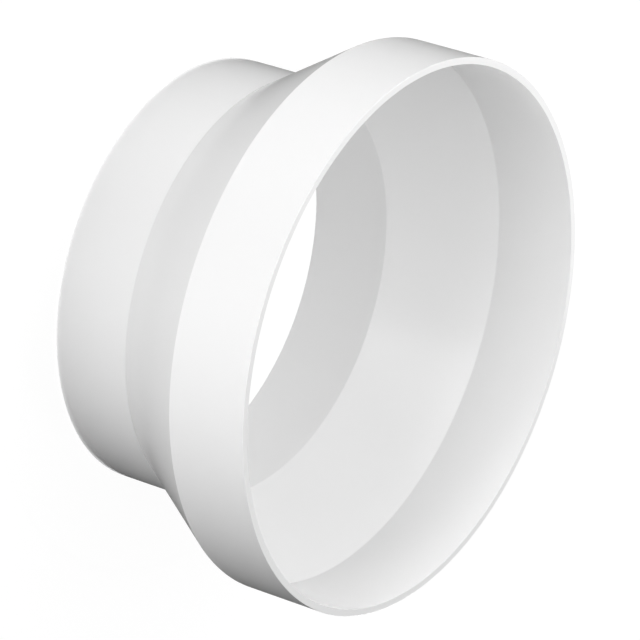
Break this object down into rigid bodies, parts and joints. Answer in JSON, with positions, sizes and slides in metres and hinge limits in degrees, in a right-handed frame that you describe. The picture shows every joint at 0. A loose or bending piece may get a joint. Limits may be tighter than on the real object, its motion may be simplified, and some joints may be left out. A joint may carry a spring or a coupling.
{
  "type": "duct reducer",
  "caption": "Moulded white reducer that joins a larger round ventilation duct to a smaller one, with a wide socket, a short cone and a narrower spigot.",
  "frame": {"origin": "centre of the small end's rim, on the duct axis, in the plane that the part stands on", "axes": "+Z along the duct axis, from the small end's rim up to the wide mouth; X and Y are alike, because the part is a body of revolution"},
  "size_m": [0.1288, 0.1288, 0.0626],
  "materials": {
    "white_plastic": "smooth semi-gloss, as moulded"
  },
  "bodies": {
    "root": {"reducer_body": "white_plastic"}
  },
  "joints": []
}
